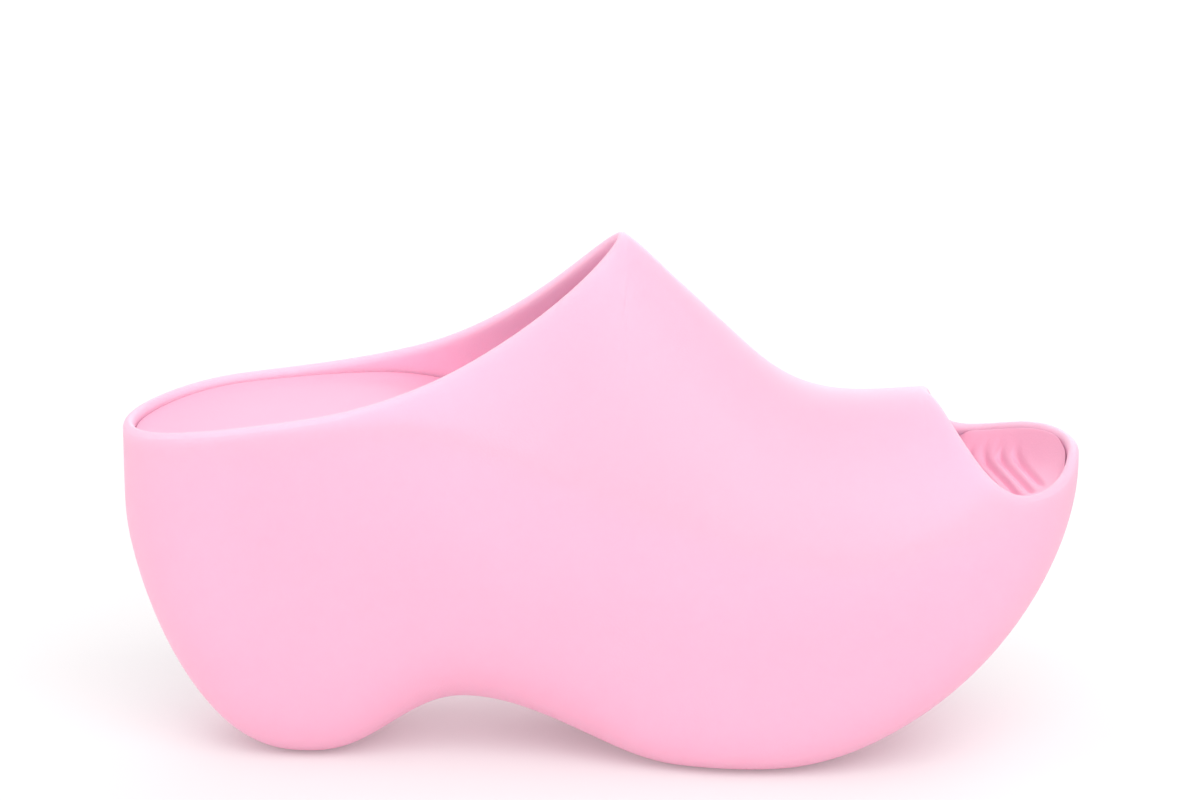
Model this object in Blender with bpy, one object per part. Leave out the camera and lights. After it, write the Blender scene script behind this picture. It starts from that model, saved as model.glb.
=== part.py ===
"""Left clog mule of moulded foam with an open toe and a ribbed insole.

Metres, +Z up. The toe points along +X and the inner (medial) side of the foot faces -Y. The shoe stands on
the floor, z = 0, with its bounding box centred over the origin. One moulding is both upper and sole: its
outer skin is a loft of half sections, its upper a wall of even thickness inside that skin, open at the
collar, where the foot goes in, and over the toes. The insole is a separate piece that lies on its floor.
"""

import math
from collections import namedtuple

import bmesh
import bpy
from mathutils import Vector

# Driving sizes
LENGTH = 0.271
WALL = 0.0033
FLOOR_FILLET = 0.004
FILLET_REACH = 0.005
INSOLE_THICK = 0.0045
GAP = 0.0003

HEEL_X = -LENGTH / 2
TOE_X = LENGTH / 2
THROAT_X = 0.0075
THROAT_HEIGHT = 0.1468
LIP_X = 0.0915
LIP_HEIGHT = 0.1014

# Sole seen from the side: rounded heel, flat heel tread, arch, flat tread at the ball and toe rocker
HEEL_TREAD_BACK_X = -0.088
HEEL_TREAD_FRONT_X = -0.079
ARCH_X = -0.040
ARCH_HEIGHT = 0.0164
BALL_TREAD_BACK_X = 0.023
BALL_TREAD_FRONT_X = 0.050
HEEL_TIP_HEIGHT = 0.070
TOE_TIP_HEIGHT = 0.0826
HEEL_POWER = 2.05
HEEL_TIP_POWER = 1.4
TOE_POWER = 1.77
TOE_TIP_POWER = 1.74
TREAD_SINK = 0.0013

# Plan of the two rounded ends
HEEL_ROUND_X = -0.102
TOE_ROUND_X = 0.0905

# One row for each section of the last, heel to toe: half widths to the inner and outer side before the
# ends are rounded, height of the widest line, and powers that square off the sole edge, fill the flank and
# round the crown
Section = namedtuple("Section", "x medial lateral widest sole_power flank_power crown_power")
SECTIONS = (
    Section(-0.1355, 0.0340, 0.0340, 0.0775, 2.4, 2.0, 2.0),
    Section(-0.1100, 0.0340, 0.0340, 0.0700, 3.4, 2.0, 2.0),
    Section(-0.0850, 0.0346, 0.0350, 0.0660, 4.7, 1.9, 2.0),
    Section(-0.0430, 0.0370, 0.0400, 0.0590, 3.4, 1.45, 1.85),
    Section(-0.0050, 0.0415, 0.0445, 0.0540, 3.8, 1.2, 1.75),
    Section(0.0350, 0.0476, 0.0485, 0.0470, 6.4, 1.5, 1.9),
    Section(0.0650, 0.0478, 0.0475, 0.0470, 5.2, 1.9, 2.0),
    Section(0.0950, 0.0452, 0.0450, 0.0540, 3.6, 2.0, 2.0),
    Section(0.1200, 0.0450, 0.0450, 0.0700, 2.8, 2.0, 2.0),
    Section(0.1355, 0.0450, 0.0450, 0.0835, 2.4, 2.0, 2.0),
)

# Height at which each section closes, or would close, on the middle line: the ridge of the vamp between
# throat and lip, and over the two openings the height that sets how far the walls lean in
Line = namedtuple("Line", "x height")
CROWN = (
    Line(HEEL_X, 0.1350),
    Line(-0.1130, 0.1650),
    Line(-0.0928, 0.1800),
    Line(-0.0724, 0.1600),
    Line(-0.0568, 0.1420),
    Line(-0.0434, 0.1360),
    Line(-0.0298, 0.1375),
    Line(-0.0163, 0.1440),
    Line(-0.0030, 0.1500),
    Line(THROAT_X, THROAT_HEIGHT),
    Line(0.0200, 0.1351),
    Line(0.0350, 0.1207),
    Line(0.0460, 0.1101),
    Line(0.0540, 0.1046),
    Line(0.0640, 0.1012),
    Line(0.0760, 0.1005),
    Line(LIP_X, LIP_HEIGHT),
    Line(TOE_X, LIP_HEIGHT),
)

# Height of the rims: the collar from heel to throat, and the toe opening from lip to toe tip on each side
COLLAR = (
    Line(HEEL_X, 0.0916),
    Line(-0.1130, 0.0956),
    Line(-0.0928, 0.0981),
    Line(-0.0724, 0.1011),
    Line(-0.0568, 0.1050),
    Line(-0.0434, 0.1099),
    Line(-0.0298, 0.1171),
    Line(-0.0163, 0.1262),
    Line(-0.0027, 0.1374),
    Line(THROAT_X, THROAT_HEIGHT),
)
TOE_MEDIAL = (
    Line(LIP_X, LIP_HEIGHT),
    Line(0.0935, 0.1008),
    Line(0.0960, 0.0981),
    Line(0.1000, 0.0930),
    Line(0.1044, 0.0874),
    Line(0.1090, 0.0830),
    Line(0.1130, 0.0804),
    Line(0.1184, 0.0785),
    Line(0.1260, 0.0787),
    Line(0.1320, 0.0812),
    Line(TOE_X, 0.0850),
)
TOE_LATERAL = (
    Line(LIP_X, LIP_HEIGHT),
    Line(0.0935, 0.0959),
    Line(0.0955, 0.0899),
    Line(0.0982, 0.0852),
    Line(0.1022, 0.0822),
    Line(0.1090, 0.0816),
    Line(0.1180, 0.0830),
    Line(0.1260, 0.0846),
    Line(TOE_X, 0.0850),
)

# Middle line of the shoe in plan: the toes turn a little to the inner side
Bend = namedtuple("Bend", "x y")
SPINE = (Bend(HEEL_X, 0.0), Bend(-0.040, 0.0008), Bend(0.035, 0.0005), Bend(TOE_X, -0.0015))

# Top of the insole along the middle line: a heel seat almost level with the rim, a slope down to the ball of
# the foot and a rise under the toes
FOOTBED = (
    Line(HEEL_X, 0.0880),
    Line(-0.1212, 0.0917),
    Line(-0.1073, 0.0943),
    Line(-0.0900, 0.0962),
    Line(-0.0700, 0.0977),
    Line(-0.0550, 0.0980),
    Line(-0.0420, 0.0958),
    Line(-0.0200, 0.0890),
    Line(0.0100, 0.0785),
    Line(0.0400, 0.0690),
    Line(0.0680, 0.0640),
    Line(0.0950, 0.0695),
    Line(0.1130, 0.0753),
    Line(TOE_X, 0.0798),
)

# Most that the insole's edge may curl up over its middle; where the rim is lower it stops just under that
CUP = (
    Line(-0.0600, 0.0015),
    Line(-0.0200, 0.0010),
    Line(0.0700, 0.0008),
    Line(0.0950, 0.0030),
    Line(0.1060, 0.0085),
)
CUP_REACH = 0.010
CUP_BLEND = 0.010
UNDER_RIM = 0.0009

# Rounding of the insole's edge, and its distance from the foot of the wall, more where the wall leans in
EDGE_DROP = 0.0008
EDGE_GAP = 0.0005
LEAN_ALLOWANCE = 1.2

# Grooves in the insole under the toes: slanted and a little bowed across it, and running out near its edge
GROOVE_FRONT_X = 0.1218
GROOVE_PITCH = 0.0039
GROOVE_COUNT = 4
GROOVE_DEPTH = 0.0016
GROOVE_SHARPNESS = 2.5
GROOVE_SLANT = 0.135
GROOVE_BOW = -0.3
GROOVE_MARGIN = 0.003
GROOVE_RUN_OUT = 0.004
GROOVE_ZONE_MARGIN = 0.004

# Least height of sole below the foot of the inner wall, and least height of that wall below the rim
LEAST_SOLE = 0.0015
LEAST_WALL = 0.0010

# Mesh density
HEEL_STEPS = 8
COLLAR_STEPS = 20
VAMP_STEPS = 15
TOE_STEPS = 18
SOLE_ROWS = 13
UPPER_ROWS = 8
FLOOR_ROWS = 5
RIM_ROWS = 4
CORNER_WEIGHT = 0.010
DENSE = 48
THROAT_CROWDING = 1.6
INSOLE_STEPS = 32
INSOLE_HEEL_CROWDING = 0.9
INSOLE_TIP_STEPS = 8
GROOVE_STEPS = 6
SWEEP_REACH = 0.005
SWEEP_FADE = 0.020
UNDER_SHARES = (0.0, 0.5, 0.85, 0.95, 1.0)
TOP_SHARES = (1.0, 0.98, 0.93, 0.86, 0.76, 0.62, 0.42, 0.20, 0.0)

PINK = (0.90, 0.42, 0.60, 1.0)
INSOLE_PINK = (0.88, 0.38, 0.56, 1.0)
FOAM_ROUGHNESS = 0.5

MEDIAL, LATERAL = -1, 1


# Curves of the last


def through(points, x):
    """Value at x of a smooth curve through (x, value) points, held level beyond its ends."""
    if x <= points[0][0]:
        return points[0][1]
    if x >= points[-1][0]:
        return points[-1][1]
    k = next(i for i in range(len(points) - 1) if x <= points[i + 1][0])
    slopes = []
    for i in (k, k + 1):
        before, after = points[max(i - 1, 0)], points[min(i + 1, len(points) - 1)]
        slopes.append((after[1] - before[1]) / (after[0] - before[0]))
    (x0, v0), (x1, v1) = points[k], points[k + 1]
    span = x1 - x0
    t = (x - x0) / span
    rise = (3 - 2 * t) * t * t
    return v0 + (v1 - v0) * rise + span * t * (1 - t) * (slopes[0] * (1 - t) - slopes[1] * t)


def column(table, name):
    return [(row.x, getattr(row, name)) for row in table]


def end_curve(reach, power, tip_power):
    """Rise from 0 to 1 of a rounded end, as reach goes from 0 to 1 along it."""
    reach = min(max(reach, 0.0), 1.0)
    return 1 - (1 - reach**power) ** (1 / tip_power)


def sole_line(x):
    """Height of the underside on the middle line, before the treads are cut flat at the floor."""
    heel_reach = (HEEL_TREAD_BACK_X - x) / (HEEL_TREAD_BACK_X - HEEL_X)
    toe_reach = (x - BALL_TREAD_FRONT_X) / (TOE_X - BALL_TREAD_FRONT_X)
    heel = HEEL_TIP_HEIGHT * end_curve(heel_reach, HEEL_POWER, HEEL_TIP_POWER)
    toe = TOE_TIP_HEIGHT * end_curve(toe_reach, TOE_POWER, TOE_TIP_POWER)
    foot_x = HEEL_TREAD_FRONT_X if x < ARCH_X else BALL_TREAD_BACK_X
    share = min(max((x - foot_x) / (ARCH_X - foot_x), 0.0), 1.0)
    arch = ARCH_HEIGHT * math.sin(share * math.pi / 2) ** 2
    return heel + toe + arch - TREAD_SINK


def plan_width(x, side):
    """Half width of the widest line, with heel and toe rounded in plan."""
    width = through(column(SECTIONS, "medial" if side == MEDIAL else "lateral"), x)
    if x < HEEL_ROUND_X:
        reach = (HEEL_ROUND_X - x) / (HEEL_ROUND_X - HEEL_X)
    else:
        reach = max(0.0, (x - TOE_ROUND_X) / (TOE_X - TOE_ROUND_X))
    return width * math.sqrt(max(0.0, 1 - reach * reach))


def top_height(x, side):
    """Height of the section's upper end: a rim, or the ridge of the vamp."""
    if THROAT_X <= x <= LIP_X:
        return through(CROWN, x)
    table = COLLAR if x < THROAT_X else TOE_MEDIAL if side == MEDIAL else TOE_LATERAL
    return through(table, x)


def spine(x):
    return through(SPINE, x)


def floor_height(x):
    """Floor of the moulding on which the insole lies."""
    return through(FOOTBED, x) - INSOLE_THICK - GAP


# Half sections of the outer skin


def half_section(x, side):
    """Dense (y, z) points from the middle of the sole, round the flank, to the upper edge."""
    width = plan_width(x, side)
    bottom = sole_line(x)
    widest = through(column(SECTIONS, "widest"), x)
    sole_power = through(column(SECTIONS, "sole_power"), x)
    flank_power = through(column(SECTIONS, "flank_power"), x)
    crown_power = through(column(SECTIONS, "crown_power"), x)
    rise = through(CROWN, x) - widest
    points = []
    for k in range(DENSE):
        angle = math.pi / 2 * k / DENSE
        y = width * math.sin(angle) ** (2 / sole_power)
        z = widest - (widest - bottom) * math.cos(angle) ** (2 / sole_power)
        points.append((y, max(z, 0.0)))
    share = min(1.0, (top_height(x, side) - widest) / rise)
    top_angle = math.asin(share ** (flank_power / 2))
    for k in range(DENSE + 1):
        angle = top_angle * k / DENSE
        y = width * max(0.0, math.cos(angle)) ** (2 / crown_power) if angle < math.pi / 2 else 0.0
        points.append((y, widest + rise * math.sin(angle) ** (2 / flank_power)))
    return points


def split_at(points, height):
    """The section below and above a height, sharing a point there."""
    k = next(i for i, point in enumerate(points) if point[1] > height)
    (y0, z0), (y1, z1) = points[k - 1], points[k]
    t = (height - z0) / (z1 - z0)
    cut = (y0 + (y1 - y0) * t, height)
    return points[:k] + [cut], [cut] + points[k:]


def spread(points, count):
    """The polyline again with count steps, closer together where it bends."""
    measure = [0.0]
    for i in range(1, len(points)):
        step = Vector(points[i]) - Vector(points[i - 1])
        turn = 0.0
        if i > 1:
            last = Vector(points[i - 1]) - Vector(points[i - 2])
            if step.length > 0 and last.length > 0:
                turn = last.angle(step)
        measure.append(measure[-1] + step.length + CORNER_WEIGHT * turn)
    out = []
    k = 0
    for i in range(count + 1):
        wanted = measure[-1] * i / count
        while k < len(points) - 2 and measure[k + 1] < wanted:
            k += 1
        span = measure[k + 1] - measure[k]
        t = 0.0 if span == 0 else min(max((wanted - measure[k]) / span, 0.0), 1.0)
        out.append(Vector(points[k]).lerp(Vector(points[k + 1]), t))
    return out


def stations():
    """Section places along the shoe, closer together at the ends, the throat and the lip."""
    places = []
    for i in range(HEEL_STEPS):
        places.append(HEEL_X + (HEEL_ROUND_X - HEEL_X) * (1 - math.cos(math.pi / 2 * i / HEEL_STEPS)))
    for i in range(COLLAR_STEPS):
        places.append(THROAT_X + (HEEL_ROUND_X - THROAT_X) * (1 - i / COLLAR_STEPS) ** THROAT_CROWDING)
    for i in range(VAMP_STEPS):
        even = i / VAMP_STEPS
        eased = (1 - math.cos(math.pi * even)) / 2
        places.append(THROAT_X + (LIP_X - THROAT_X) * (even + eased) / 2)
    for i in range(TOE_STEPS + 1):
        places.append(LIP_X + (TOE_X - LIP_X) * (1 - math.cos(math.pi * i / TOE_STEPS)) / 2)
    return places


# Mesh helpers


class Skin:
    """A mesh made of strips between rows of points. Points at the same place become one corner."""

    def __init__(self):
        self.mesh = bmesh.new()
        self.corners = {}

    def corner(self, point):
        key = tuple(round(value, 7) for value in point)
        if key not in self.corners:
            self.corners[key] = self.mesh.verts.new(point)
        return self.corners[key]

    def strip(self, row, following, side):
        """Faces between two rows, turned to face outwards on either side of the shoe."""
        for j in range(len(row) - 1):
            loop = [row[j], following[j], following[j + 1], row[j + 1]]
            if side == LATERAL:
                loop.reverse()
            corners = []
            for point in loop:
                corner = self.corner(point)
                if corner not in corners:
                    corners.append(corner)
            if len(corners) > 2:
                self.mesh.faces.new(corners)


def new_object(name, skin, colour, collection):
    mesh = bpy.data.meshes.new(name)
    skin.mesh.to_mesh(mesh)
    skin.mesh.free()
    mesh.shade_smooth()
    material = bpy.data.materials.new(name)
    material.use_nodes = True
    shader = material.node_tree.nodes["Principled BSDF"]
    shader.inputs["Base Color"].default_value = colour
    shader.inputs["Roughness"].default_value = FOAM_ROUGHNESS
    shader.inputs["Metallic"].default_value = 0.0
    mesh.materials.append(material)
    piece = bpy.data.objects.new(name, mesh)
    collection.objects.link(piece)
    return piece


# The moulding


def outer_rows(places, side):
    """Rows of skin points, sole middle to upper edge; row SOLE_ROWS is beside the foot of the inner wall."""
    rows = []
    for x in places:
        points = half_section(x, side)
        lowest, highest = points[0][1], points[-1][1]
        line = floor_height(x) + FLOOR_FILLET
        line = min(max(line, lowest + LEAST_SOLE), highest - LEAST_WALL)
        below, above = split_at(points, line)
        flat = spread(below, SOLE_ROWS)[:-1] + spread(above, UPPER_ROWS)
        rows.append([Vector((x, spine(x) + side * y, z)) for y, z in flat])
    return rows


def inner_rows(rows, skin):
    """The upper part of the skin moved in by the wall thickness along its own normals."""
    out = []
    for row in rows:
        corners = [skin.corner(point) for point in row[SOLE_ROWS:]]
        out.append([corner.co - WALL * corner.normal for corner in corners])
    return out


def rim_row(outer, below, inner, along):
    """Half-round edge from the outer skin over to the inner one; along runs along the rim."""
    middle = (outer + inner) / 2
    across = outer - middle
    out = along.cross(across).normalized() * across.length
    if out.dot(outer - below) < 0:
        out = -out
    angles = [math.pi * k / RIM_ROWS for k in range(RIM_ROWS + 1)]
    row = [middle + across * math.cos(a) + out * math.sin(a) for a in angles]
    row[0], row[-1] = outer, inner
    return row


def rim_rows(side_rows, other_rows, inner, first, last):
    """Rim rows of one side between the two places where both sides meet on the middle line."""
    out = []
    for i in range(first, last + 1):
        top = side_rows[i][-1]
        if i in (first, last):
            beside = i + 1 if i == first else i - 1
            along = other_rows[beside][-1] - side_rows[beside][-1]
        else:
            along = side_rows[i + 1][-1] - side_rows[i - 1][-1]
        out.append(rim_row(top, side_rows[i][-2], inner[i][-1], along))
    return out


def distance_to(outline, x, y):
    """Plan distance from a point to an outline given as (x, y) points."""
    spot = Vector((x, y))
    nearest = math.inf
    for start, end in zip(outline, outline[1:]):
        edge = end - start
        t = 0.0 if edge.length == 0 else min(max((spot - start).dot(edge) / edge.length_squared, 0.0), 1.0)
        nearest = min(nearest, (start + edge * t - spot).length)
    return nearest


def bowl_height(outline, x, y, clear=0.0):
    """Floor height at a plan point, with a fillet up to the wall; clear lifts it evenly off the floor."""
    radius = FLOOR_FILLET - clear
    reach = max(0.0, FLOOR_FILLET - distance_to(outline, x, y))
    return floor_height(x) + FLOOR_FILLET - math.sqrt(radius**2 - reach**2)


def floor_middles(rings):
    """Points on the middle line of the floor, one for each section, that both sides share."""
    start = rings[MEDIAL][0].x + 2 * FLOOR_FILLET
    end = rings[MEDIAL][-1].x - 2 * FLOOR_FILLET
    middles = []
    for medial, lateral in zip(rings[MEDIAL], rings[LATERAL]):
        x = min(max((medial.x + lateral.x) / 2, start), end)
        middles.append(Vector((x, spine(x), floor_height(x))))
    return middles


def floor_rows(ring, middles, outline):
    """Rows from the foot of the wall, round the fillet, to the middle of the floor."""
    rows = []
    for foot, middle in zip(ring, middles):
        reach = (middle - foot).to_2d().length
        row = [foot]
        for k in range(1, FLOOR_ROWS):
            travel = FILLET_REACH * (1 - math.cos(math.pi / 2 * k / (FLOOR_ROWS - 1)))
            point = foot.lerp(middle, travel / reach)
            row.append(Vector((point.x, point.y, bowl_height(outline, point.x, point.y))))
        rows.append(row + [middle])
    return rows


def make_moulding(collection):
    """Upper and sole in one piece. Returns the object and the outline of the foot of its inner wall."""
    places = stations()
    throat = HEEL_STEPS + COLLAR_STEPS
    lip = throat + VAMP_STEPS
    toe = len(places) - 1
    skin = Skin()
    outer = {side: outer_rows(places, side) for side in (MEDIAL, LATERAL)}
    for side, rows in outer.items():
        for row, following in zip(rows, rows[1:]):
            skin.strip(row, following, side)
    skin.mesh.normal_update()
    inner = {side: inner_rows(rows, skin) for side, rows in outer.items()}
    rings = {side: [row[0] for row in rows] for side, rows in inner.items()}
    outline = [p.to_2d() for p in rings[MEDIAL]] + [p.to_2d() for p in reversed(rings[LATERAL])]
    middles = floor_middles(rings)
    for side in (MEDIAL, LATERAL):
        walls = [list(reversed(row)) for row in inner[side]]
        floors = floor_rows(rings[side], middles, outline)
        rims = {}
        for first, last in ((0, throat), (lip, toe)):
            found = rim_rows(outer[side], outer[-side], inner[side], first, last)
            rims.update({first + k: row for k, row in enumerate(found)})
        for i in range(toe):
            skin.strip(walls[i], walls[i + 1], side)
            skin.strip(floors[i], floors[i + 1], side)
            if i < throat or i >= lip:
                skin.strip(rims[i], rims[i + 1], side)
    return new_object("moulded_upper_and_sole", skin, PINK, collection), outline


# The insole


def width_at(x, side, height):
    """Half width of the outer skin at a height up to its rim."""
    points = half_section(x, side)
    above = split_at(points, min(height, points[-1][1] - LEAST_WALL))[1]
    return above[0][0]


def edge_rise(x, y):
    """Rise of the insole's edge over its middle: the inner side's, the outer side's or a blend of both."""
    share = min(max((y - spine(x)) / CUP_BLEND, -1.0), 1.0)
    rises = []
    for side in (MEDIAL, LATERAL):
        room = top_height(x, side) + WALL / 2 - UNDER_RIM - through(FOOTBED, x)
        rises.append(min(max(room, 0.0), through(CUP, x)))
    medial, lateral = rises
    return (medial * (1 - share) + lateral * (1 + share)) / 2


def wall_lean(x, y, side):
    """How far the wall leans in across the shoe, from its foot up to the height of the insole's edge."""
    foot = floor_height(x) + FLOOR_FILLET
    edge = through(FOOTBED, x) + edge_rise(x, y)
    return max(0.0, width_at(x, side, foot) - width_at(x, side, edge))


def insole_edge(ring, side):
    """One side of the insole's edge in plan, heel to toe, set in from the foot of the wall."""
    edge = [ring[0] + Vector((EDGE_GAP, 0.0))]
    for before, point, after in zip(ring, ring[1:], ring[2:]):
        along = (after - before).normalized()
        inward = Vector((-along.y, along.x))
        if inward.dot(Vector((point.x, spine(point.x))) - point) < 0:
            inward = -inward
        lean = wall_lean(point.x, point.y, side) * abs(inward.y)
        edge.append(point + inward * (EDGE_GAP + LEAN_ALLOWANCE * lean))
    edge.append(ring[-1] - Vector((EDGE_GAP, 0.0)))
    return edge


def groove_sweep(y):
    """How far forward a groove lies at a distance across the shoe, against its place at the middle."""
    return GROOVE_BOW * y * y - GROOVE_SLANT * y


def row_sweep(x, y, edge_distance):
    """How far a point of the insole's top is moved forward, so that rows of points follow the grooves."""
    along = min(max(1 - (groove_zone()[0] - x) / SWEEP_FADE, 0.0), 1.0)
    inward = min(edge_distance / SWEEP_REACH, 1.0)
    return groove_sweep(y) * along * inward * inward * (3 - 2 * inward)


def groove_depth(x, y, edge_distance):
    """Depth of the toe grooves at a plan point, running out towards the insole's edge."""
    along = (GROOVE_FRONT_X + groove_sweep(y) - x) / GROOVE_PITCH
    if not -0.5 < along < GROOVE_COUNT - 0.5:
        return 0.0
    fade = min(max((edge_distance - GROOVE_MARGIN) / GROOVE_RUN_OUT, 0.0), 1.0)
    wave = (1 + math.cos(2 * math.pi * along)) / 2
    return GROOVE_DEPTH * wave**GROOVE_SHARPNESS * fade * fade * (3 - 2 * fade)


def groove_zone():
    """Back and front of the grooved part of the insole."""
    back = GROOVE_FRONT_X - GROOVE_PITCH * (GROOVE_COUNT - 1)
    return back - GROOVE_ZONE_MARGIN, GROOVE_FRONT_X + GROOVE_ZONE_MARGIN


def insole_places(start, end):
    """Section places of the insole, closest together over the grooves."""
    back, front = groove_zone()
    groove_steps = round(GROOVE_STEPS * (front - back) / GROOVE_PITCH)
    places = []
    for i in range(INSOLE_STEPS):
        eased = 1 - math.cos(math.pi / 2 * i / INSOLE_STEPS)
        places.append(start + (back - start) * eased**INSOLE_HEEL_CROWDING)
    for i in range(groove_steps):
        places.append(back + (front - back) * i / groove_steps)
    for i in range(INSOLE_TIP_STEPS + 1):
        places.append(front + (end - front) * math.sin(math.pi / 2 * i / INSOLE_TIP_STEPS))
    return places


def make_insole(outline, collection):
    """Footbed that fills the floor's bowl, with grooves where the toes grip."""
    half = len(outline) // 2
    edges = {
        MEDIAL: insole_edge(outline[:half], MEDIAL),
        LATERAL: insole_edge(outline[:half - 1:-1], LATERAL),
    }
    edge_line = edges[MEDIAL] + edges[LATERAL][::-1]
    start, end = edges[MEDIAL][0].x, edges[MEDIAL][-1].x
    places = insole_places(start, end)
    skin = Skin()
    for side, edge in edges.items():
        squares = [(point.x, (point.y - spine(point.x)) ** 2) for point in edge]
        squares[0] = (start, 0.0)
        squares[-1] = (end, 0.0)
        rows = []
        for x in places:
            half_width = math.sqrt(max(0.0, through(squares, x)))
            rows.append(insole_row(x, side, half_width, outline, edge_line))
        for row, following in zip(rows, rows[1:]):
            skin.strip(row, following, side)
    return new_object("insole", skin, INSOLE_PINK, collection)


def insole_row(x, side, half_width, outline, edge_line):
    """Points from the middle of the underside, round the edge, to the middle of the top."""
    row = []
    for share in UNDER_SHARES:
        y = spine(x) + side * half_width * share
        row.append(Vector((x, y, bowl_height(outline, x, y, GAP))))
    for share in TOP_SHARES:
        y = spine(x) + side * half_width * share
        swept = x + row_sweep(x, y, distance_to(edge_line, x, y))
        edge_distance = distance_to(edge_line, swept, y)
        curl = max(0.0, 1 - edge_distance / CUP_REACH) ** 2
        drop = EDGE_DROP if share == 1.0 else 0.0
        rise = edge_rise(swept, y) * curl - drop - groove_depth(swept, y, edge_distance)
        row.append(Vector((swept, y, through(FOOTBED, swept) + rise)))
    return row


def stand_over_origin(pieces):
    """Centre the shoe's box over the origin."""
    corners = [vertex.co for piece in pieces for vertex in piece.data.vertices]
    middle_y = (min(c.y for c in corners) + max(c.y for c in corners)) / 2
    middle_x = (min(c.x for c in corners) + max(c.x for c in corners)) / 2
    for piece in pieces:
        for vertex in piece.data.vertices:
            vertex.co -= Vector((middle_x, middle_y, 0.0))


def main():
    for existing in list(bpy.data.objects):
        bpy.data.objects.remove(existing)
    collection = bpy.data.collections.new("open_toe_clog_mule")
    bpy.context.scene.collection.children.link(collection)
    moulding, outline = make_moulding(collection)
    insole = make_insole(outline, collection)
    stand_over_origin((moulding, insole))


main()
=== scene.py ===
"""Left clog mule of pink moulded foam with a grooved insole, standing on a white studio floor."""

import math

import bpy
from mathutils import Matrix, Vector


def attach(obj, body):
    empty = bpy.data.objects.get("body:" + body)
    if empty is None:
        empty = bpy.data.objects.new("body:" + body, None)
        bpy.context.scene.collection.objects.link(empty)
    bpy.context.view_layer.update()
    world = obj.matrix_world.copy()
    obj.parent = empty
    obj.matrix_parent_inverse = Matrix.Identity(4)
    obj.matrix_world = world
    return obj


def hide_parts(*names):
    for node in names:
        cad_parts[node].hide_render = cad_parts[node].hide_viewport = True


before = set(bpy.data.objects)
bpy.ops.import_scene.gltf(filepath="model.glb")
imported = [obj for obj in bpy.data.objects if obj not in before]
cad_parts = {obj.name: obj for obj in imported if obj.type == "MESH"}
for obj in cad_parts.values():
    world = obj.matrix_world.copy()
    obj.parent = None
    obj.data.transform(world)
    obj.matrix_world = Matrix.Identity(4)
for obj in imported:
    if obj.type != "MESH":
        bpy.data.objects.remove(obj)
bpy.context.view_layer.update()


# Moulding: upper and sole shot in one piece of closed-cell foam, with a fine matt grain from the mould and
# full-round rims at collar and toe. It stands on its heel and on the ball of the foot, and nothing is
# fixed to it.

MOULDING_SMOOTHING = 2
WELD_DISTANCE = 0.00001
QUAD_ANGLE = math.radians(70)


def smooth_copy(node_name, piece_name, levels):
    """A copy of a CAD node with its facets rounded off."""
    bpy.ops.object.select_all(action="DESELECT")
    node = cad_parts[node_name]
    piece = bpy.data.objects.new(piece_name, node.data.copy())
    piece.data.name = piece_name
    bpy.context.scene.collection.objects.link(piece)
    bpy.context.view_layer.objects.active = piece
    piece.select_set(True)
    bpy.ops.object.mode_set(mode="EDIT")
    bpy.ops.mesh.select_all(action="SELECT")
    bpy.ops.mesh.remove_doubles(threshold=WELD_DISTANCE)
    bpy.ops.mesh.tris_convert_to_quads(face_threshold=QUAD_ANGLE, shape_threshold=QUAD_ANGLE)
    bpy.ops.object.mode_set(mode="OBJECT")
    rounding = piece.modifiers.new("rounding", "SUBSURF")
    rounding.levels = levels
    rounding.render_levels = levels
    bpy.ops.object.modifier_apply(modifier=rounding.name)
    bpy.ops.object.shade_smooth()
    return piece


class Value:
    """One output of a material's nodes. Sums and products of values add Math nodes."""

    def __init__(self, tree, socket):
        self.tree = tree
        self.socket = socket

    @classmethod
    def node(cls, tree, kind, settings, inputs, output):
        """One output of a new node, made with its settings and then its input values or links."""
        made = tree.nodes.new(kind)
        for name, setting in settings.items():
            setattr(made, name, setting)
        for name, given in inputs.items():
            if isinstance(given, cls):
                tree.links.new(given.socket, made.inputs[name])
            else:
                made.inputs[name].default_value = given
        return cls(tree, made.outputs[output])

    def maths(self, operation, first, second):
        inputs = {0: first, 1: second}
        return self.node(self.tree, "ShaderNodeMath", {"operation": operation}, inputs, "Value")

    def __add__(self, other):
        return self.maths("ADD", self, other)

    def __sub__(self, other):
        return self.maths("SUBTRACT", self, other)

    def __rsub__(self, other):
        return self.maths("SUBTRACT", other, self)

    def __mul__(self, other):
        return self.maths("MULTIPLY", self, other)

    __radd__ = __add__
    __rmul__ = __mul__

    def feed(self, shader, name):
        self.tree.links.new(self.socket, shader.inputs[name])


def new_finish(name):
    """A new material, its shader and the place on the piece as a value."""
    material = bpy.data.materials.new(name)
    material.use_nodes = True
    tree = material.node_tree
    place = Value.node(tree, "ShaderNodeTexCoord", {}, {}, "Object")
    return material, tree.nodes["Principled BSDF"], place


def noise(place, size, detail):
    """Soft noise from 0 to 1 with lumps of a size in metres."""
    inputs = {"Vector": place, "Scale": 1 / size, "Detail": detail}
    return Value.node(place.tree, "ShaderNodeTexNoise", {}, inputs, "Fac")


# Numbers of a Mix node's colour sockets, whose names are shared with its other sockets
MIX_FIRST_COLOUR = 6
MIX_SECOND_COLOUR = 7
MIX_RESULT_COLOUR = 2


def colour_between(deep, pale, tone):
    """The colour that lies between a deep and a pale one, by a tone from 0 to 1."""
    inputs = {"Factor": tone, MIX_FIRST_COLOUR: deep, MIX_SECOND_COLOUR: pale}
    return Value.node(tone.tree, "ShaderNodeMix", {"data_type": "RGBA"}, inputs, MIX_RESULT_COLOUR)


# Lumps in the foam, from faint clouds down to the grain of the mould
FOAM_CLOUDS = {"size": 0.045, "detail": 2.0}
FOAM_MOTTLE = {"size": 0.007, "detail": 3.0}
FOAM_GRAIN = {"size": 0.0006, "detail": 2.0}
NOISE_MEAN = 0.5

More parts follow.
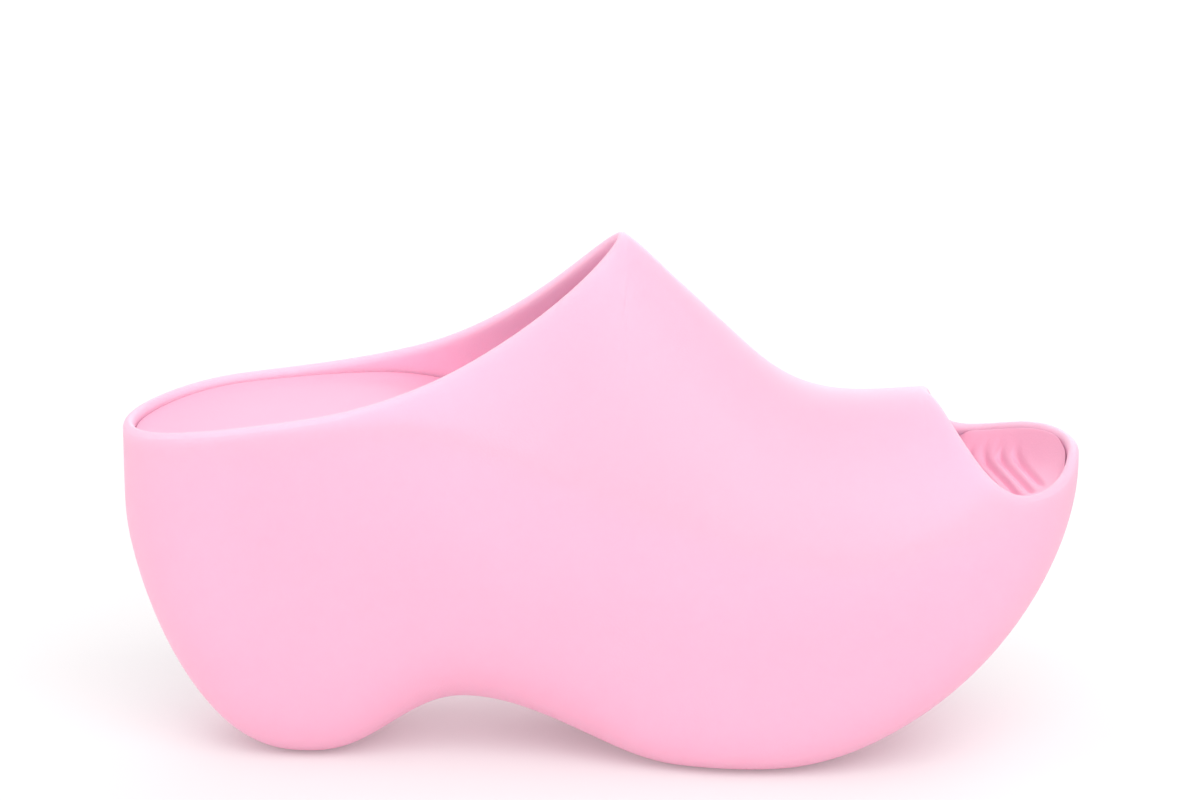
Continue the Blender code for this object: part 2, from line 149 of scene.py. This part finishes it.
# Share of each in the colour's tone and in the relief, and what it adds to the roughness
CLOUDS_IN_TONE = 0.65
MOTTLE_IN_TONE = 0.25
GRAIN_IN_TONE = 0.10
MOTTLE_IN_RELIEF = 0.3
GRAIN_IN_RELIEF = 0.7
MOTTLE_IN_ROUGHNESS = 0.08
GRAIN_IN_ROUGHNESS = 0.10

# Gloss of the foam's skin, how deep light soaks in, and the share of that depth for red, green and blue
FOAM_GLOSS = 0.35
FOAM_SOAK_DEPTH = 0.016
FOAM_SOAK_RATIO = (0.75, 0.85, 0.9)


def foam(name, pale, deep, grain_height, roughness, translucency):
    """Matt closed-cell foam: a fine mould grain, a faint cloudy tone and light that soaks in."""
    material, shader, place = new_finish(name)
    clouds = noise(place, **FOAM_CLOUDS)
    mottle = noise(place, **FOAM_MOTTLE)
    grain = noise(place, **FOAM_GRAIN)
    tone = clouds * CLOUDS_IN_TONE + mottle * MOTTLE_IN_TONE + grain * GRAIN_IN_TONE
    colour_between(deep, pale, tone).feed(shader, "Base Color")
    mottle_dulling = (mottle - NOISE_MEAN) * MOTTLE_IN_ROUGHNESS
    grain_dulling = (grain - NOISE_MEAN) * GRAIN_IN_ROUGHNESS
    (roughness + mottle_dulling + grain_dulling).feed(shader, "Roughness")
    relief = grain * GRAIN_IN_RELIEF + mottle * MOTTLE_IN_RELIEF
    inputs = {"Height": relief, "Strength": 1.0, "Distance": grain_height}
    Value.node(place.tree, "ShaderNodeBump", {}, inputs, "Normal").feed(shader, "Normal")
    shader.inputs["Specular IOR Level"].default_value = FOAM_GLOSS
    shader.inputs["Subsurface Weight"].default_value = translucency
    shader.inputs["Subsurface Radius"].default_value = FOAM_SOAK_RATIO
    shader.inputs["Subsurface Scale"].default_value = FOAM_SOAK_DEPTH
    return material


moulding = smooth_copy("moulded_upper_and_sole", "foam_clog_body", MOULDING_SMOOTHING)
body_foam = foam(
    "pink_body_foam",
    pale=(0.96, 0.470, 0.625, 1.0),
    deep=(0.93, 0.440, 0.595, 1.0),
    grain_height=0.00006,
    roughness=0.52,
    translucency=0.55,
)
moulding.data.materials.clear()
moulding.data.materials.append(body_foam)
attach(moulding, "root")
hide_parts("moulded_upper_and_sole")


# Insole: a softer foam footbed pressed to the shape of the hollow, laid loose on its floor. Four slanted
# grooves under the toes are moulded into it.

INSOLE_SMOOTHING = 2

insole = smooth_copy("insole", "foam_insole_pad", INSOLE_SMOOTHING)
insole_foam = foam(
    "pink_insole_foam",
    pale=(0.95, 0.450, 0.620, 1.0),
    deep=(0.92, 0.420, 0.590, 1.0),
    grain_height=0.00009,
    roughness=0.62,
    translucency=0.1,
)
insole.data.materials.clear()
insole.data.materials.append(insole_foam)
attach(insole, "root")
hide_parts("insole")


# Studio: a white floor with a little painted glow that lifts the shadows on it, in a bright white tent with
# soft lights in front, at the heel and behind. The camera of the picture stands a little above the shoe, on
# its inner side.

WHITE = (1.0, 1.0, 1.0, 1.0)
FLOOR_SIZE = 8.0
FLOOR_PALE = (0.68, 0.68, 0.68, 1.0)
FLOOR_DEEP = (0.66, 0.66, 0.66, 1.0)
FLOOR_CLOUDS = {"size": 0.30, "detail": 1.0}
FLOOR_ROUGHNESS = 0.7
FLOOR_GLOSS = 0.2
# Painted light: a white glow in the floor, no lamp, that lifts the shadows cast on it
FLOOR_PAINTED_GLOW = 0.18
TENT_LIGHT = 0.88

bpy.ops.object.select_all(action="DESELECT")
bpy.ops.mesh.primitive_plane_add(size=FLOOR_SIZE)
floor = bpy.context.object
floor.name = "studio_floor"
floor_paint_and_glow, floor_shader, floor_place = new_finish("white_floor_paint_and_painted_glow")
floor_tone = noise(floor_place, **FLOOR_CLOUDS)
colour_between(FLOOR_DEEP, FLOOR_PALE, floor_tone).feed(floor_shader, "Base Color")
floor_shader.inputs["Roughness"].default_value = FLOOR_ROUGHNESS
floor_shader.inputs["Specular IOR Level"].default_value = FLOOR_GLOSS
# Painted light: the floor's white emission brightens it everywhere, in its shadows too
floor_shader.inputs["Emission Color"].default_value = WHITE
floor_shader.inputs["Emission Strength"].default_value = FLOOR_PAINTED_GLOW
floor.data.materials.append(floor_paint_and_glow)

tent = bpy.data.worlds.new("white_tent")
tent.use_nodes = True
tent_light = tent.node_tree.nodes["Background"]
tent_light.inputs["Color"].default_value = WHITE
tent_light.inputs["Strength"].default_value = TENT_LIGHT
bpy.context.scene.world = tent


def soft_light(name, place, size, watts):
    """A square soft light that faces the shoe."""
    turn = (-place).to_track_quat("-Z", "Y").to_euler()
    bpy.ops.object.light_add(type="AREA", location=place, rotation=turn)
    light = bpy.context.object
    light.name = name
    light.data.size = size
    light.data.energy = watts


soft_light("front_soft_light", place=Vector((0.45, -1.5, 1.65)), size=1.8, watts=26.0)
soft_light("heel_soft_light", place=Vector((-1.8, -0.6, 0.6)), size=1.2, watts=4.5)
soft_light("back_soft_light", place=Vector((0.3, 1.95, 0.7)), size=1.4, watts=12.0)

CAMERA_TARGET = Vector((-0.0002, 0.0, 0.0982))
CAMERA_ELEVATION = math.radians(15.0)
CAMERA_DISTANCE = 1.30
CAMERA_SENSOR = 36.0
CAMERA_LENS = 137.7

away = Vector((0.0, -math.cos(CAMERA_ELEVATION), math.sin(CAMERA_ELEVATION)))
bpy.ops.object.camera_add(
    location=CAMERA_TARGET + CAMERA_DISTANCE * away,
    rotation=(math.pi / 2 - CAMERA_ELEVATION, 0.0, 0.0),
)
camera = bpy.context.object
camera.name = "picture_camera"
camera.data.sensor_width = CAMERA_SENSOR
camera.data.lens = CAMERA_LENS
bpy.context.scene.camera = camera
bpy.context.scene.view_settings.view_transform = "Standard"
